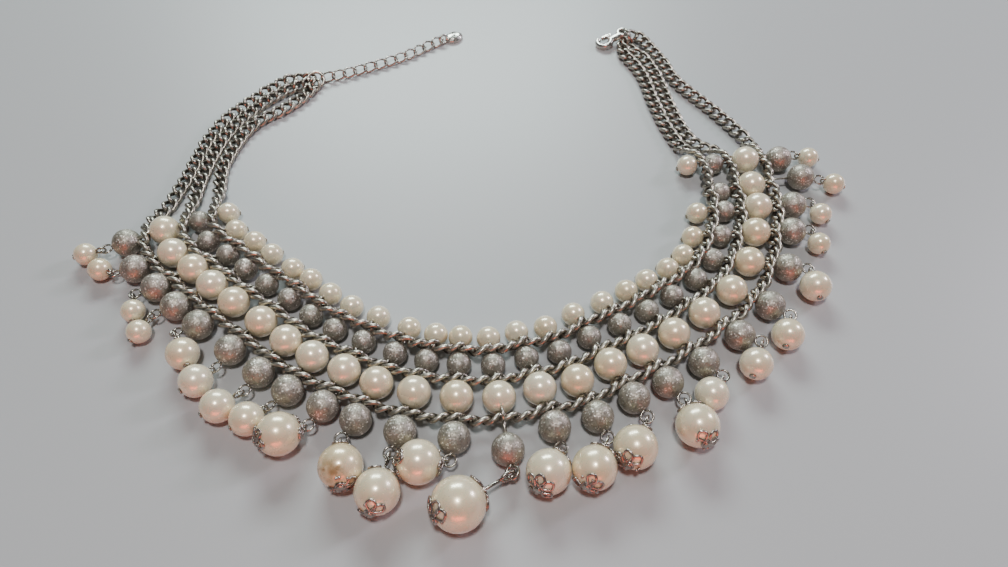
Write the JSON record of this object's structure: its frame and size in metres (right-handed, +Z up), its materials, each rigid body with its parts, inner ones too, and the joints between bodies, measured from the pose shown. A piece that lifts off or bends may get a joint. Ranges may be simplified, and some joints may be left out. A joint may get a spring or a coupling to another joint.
{
  "type": "bib necklace",
  "caption": "Bib necklace lying open and flat: three curb chains with rows of pearls and glitter beads, pearl drops on pins, a lobster clasp and an extender chain with a tag.",
  "frame": {"origin": "on the table, under the middle of the necklace's box", "axes": "+X to the clasp's side along the bib's width, +Y from the bib to the free ends, +Z up from the table"},
  "size_m": [0.2144, 0.1796, 0.0113],
  "materials": {
    "pearl": "pearl lustre",
    "stardust": "fine glitter grain",
    "antique_metal": "antique silver",
    "clasp_metal": "worn bright"
  },
  "bodies": {
    "necklace": {"inner_row": "pearl", "middle_row": "pearl", "outer_row": "stardust", "drop_01": "pearl", "drop_02": "pearl", "drop_03": "pearl", "drop_04": "pearl", "drop_05": "pearl", "drop_06": "pearl", "drop_07": "pearl", "drop_08": "pearl", "drop_09": "pearl", "drop_10": "pearl", "drop_11": "pearl", "drop_12": "pearl", "drop_13": "pearl", "drop_14": "pearl", "drop_15": "pearl", "drop_16": "pearl", "drop_17": "pearl", "drop_18": "pearl", "drop_19": "pearl", "drop_20": "pearl", "drop_21": "pearl", "drop_22": "pearl", "drop_23": "pearl", "drop_24": "pearl", "drop_25": "pearl", "left_ring": "antique_metal", "extender_link_01": "antique_metal", "extender_link_02": "antique_metal", "extender_link_03": "antique_metal", "extender_link_04": "antique_metal", "extender_link_05": "antique_metal", "extender_link_06": "antique_metal", "extender_link_07": "antique_metal", "extender_link_08": "antique_metal", "extender_link_09": "antique_metal", "extender_link_10": "antique_metal", "extender_link_11": "antique_metal", "extender_link_12": "antique_metal", "end_tag": "antique_metal", "right_ring": "clasp_metal", "clasp_body": "clasp_metal"},
    "lever": {"clasp_lever": "clasp_metal"}
  },
  "joints": [
    {"name": "clasp_lever_hinge", "type": "hinge", "parent": "necklace", "child": "lever", "pos_m": [0.04557, 0.08576, 0.00134], "axis": [-0.2064, -0.0962, 0.9737], "range_deg": [0, 25], "stiffness_Nm_per_rad": 0.0002}
  ]
}
